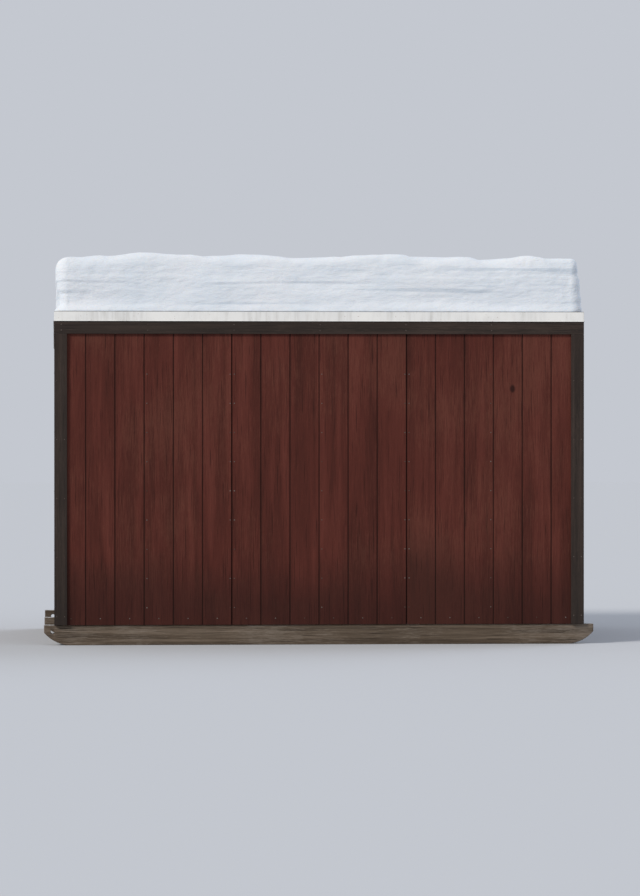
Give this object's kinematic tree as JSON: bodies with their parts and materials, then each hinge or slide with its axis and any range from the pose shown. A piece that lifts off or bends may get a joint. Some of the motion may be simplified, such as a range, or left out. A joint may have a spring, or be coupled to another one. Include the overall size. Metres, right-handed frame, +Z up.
{
  "type": "ice fishing hut",
  "caption": "Small timber hut on runners with grooved plywood walls, fishing holes in its floor and a low roof under a thick cake of snow.",
  "frame": {"origin": "on the ice, at the middle of the hut's footprint", "axes": "+X along the front wall towards the end with the door, -Y out of the front wall, +Z up"},
  "size_m": [3.838, 2.49, 2.7437],
  "materials": {
    "stained_siding": "matte",
    "dark_trim": "matte",
    "framing": "matte",
    "sheathing": "matte",
    "runner_timber": "matte",
    "roofing_felt": "matte",
    "white_coated_steel": "satin",
    "black_hardware": "satin",
    "settled_snow": "matte"
  },
  "bodies": {
    "root": {"runner_front": "runner_timber", "runner_middle": "runner_timber", "runner_back": "runner_timber", "rim_joist_front": "framing", "rim_joist_back": "framing", "floor_joists": "framing", "floor_sheet_left": "sheathing", "floor_sheet_middle": "sheathing", "floor_sheet_right": "sheathing", "front_wall_plates": "framing", "front_wall_studs": "framing", "back_wall_plates": "framing", "back_wall_studs": "framing", "left_end_plates": "framing", "left_end_studs": "framing", "right_end_plates": "framing", "right_end_studs": "framing", "front_siding": "stained_siding", "back_siding": "stained_siding", "left_end_siding": "stained_siding", "right_end_siding": "stained_siding", "rafters": "framing", "roof_deck": "sheathing", "roof_felt": "roofing_felt", "fascia_front": "dark_trim", "fascia_back": "dark_trim", "rake_board_left": "dark_trim", "rake_board_right": "dark_trim", "drip_edge_front": "white_coated_steel", "drip_edge_back": "white_coated_steel", "drip_edge_left": "white_coated_steel", "drip_edge_right": "white_coated_steel", "corner_trim_front_left": "dark_trim", "corner_trim_front_right": "dark_trim", "corner_trim_back_left": "dark_trim", "corner_trim_back_right": "dark_trim", "door_frame": "dark_trim", "door_casing": "dark_trim", "door_leaf": "stained_siding", "door_ledges": "dark_trim", "door_hinges": "black_hardware", "door_pull": "black_hardware", "door_bolt": "black_hardware", "roof_snow": "settled_snow"}
  },
  "joints": []
}
